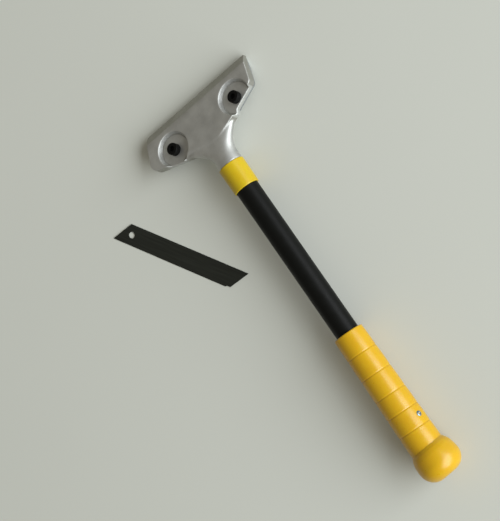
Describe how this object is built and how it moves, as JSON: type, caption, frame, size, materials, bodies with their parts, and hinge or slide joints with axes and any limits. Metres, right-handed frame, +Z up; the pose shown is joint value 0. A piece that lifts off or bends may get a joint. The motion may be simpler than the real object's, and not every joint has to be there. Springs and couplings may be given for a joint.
{
  "type": "razor blade scraper",
  "caption": "Long-handled blade scraper: cast wing-shaped head with clamp plate and socket screws, tube handle, ribbed grip, round end knob, loose slanted blade.",
  "frame": {"origin": "Middle of the flat pad under the nose, where the head stands on the table with its screws up", "axes": "+Y is the way the tool is pushed and the handle runs along -Y; +Z is up, square to the table; +X is the side of the head's longer, pointed wing"},
  "size_m": [0.17, 0.3228, 0.0324],
  "materials": {
    "cast_head": "satin die-cast aluminium",
    "clamp_steel": "satin zinc-plated steel",
    "screw_black": "black oxide steel",
    "pin_steel": "ground steel",
    "tube_black": "satin black powder coat",
    "yellow_plastic": "moulded yellow plastic with a soft gloss",
    "rivet_steel": "worn blue-grey steel",
    "blade_black": "blackened spring steel"
  },
  "bodies": {
    "handle_and_head": {"head_casting": "cast_head", "blade_pin": "pin_steel", "neck_pin": "pin_steel", "collar": "yellow_plastic", "tube": "tube_black", "grip": "yellow_plastic", "grip_rivet": "rivet_steel", "end_knob": "yellow_plastic"},
    "clamp": {"clamp_plate": "clamp_steel"},
    "left_screw": {"clamp_screw_left": "screw_black"},
    "right_screw": {"clamp_screw_right": "screw_black"},
    "blade": {"scraper_blade": "blade_black"}
  },
  "joints": [
    {"name": "left_screw_turn", "type": "hinge", "parent": "handle_and_head", "child": "left_screw", "pos_m": [-0.0306, -0.0185, 0.01187], "axis": [0, 0.2756, 0.9613], "range_deg": [0, 720]},
    {"name": "right_screw_turn", "type": "hinge", "parent": "handle_and_head", "child": "right_screw", "pos_m": [0.0306, -0.0185, 0.01187], "axis": [0, 0.2756, 0.9613], "range_deg": [0, 720]},
    {"name": "clamp_plate_open", "type": "slide", "parent": "handle_and_head", "child": "clamp", "axis": [0, -0.2756, -0.9613], "range_m": [0, 0.002]},
    {"name": "blade_lift", "type": "slide", "parent": "handle_and_head", "child": "blade", "axis": [0, 0, 1], "range_m": [0, 0.06]}
  ],
  "couplings": [
    {"joint": "left_screw_turn", "follows": "clamp_plate_open", "rad_per_m": 6283.2},
    {"joint": "right_screw_turn", "follows": "clamp_plate_open", "rad_per_m": 6283.2}
  ]
}
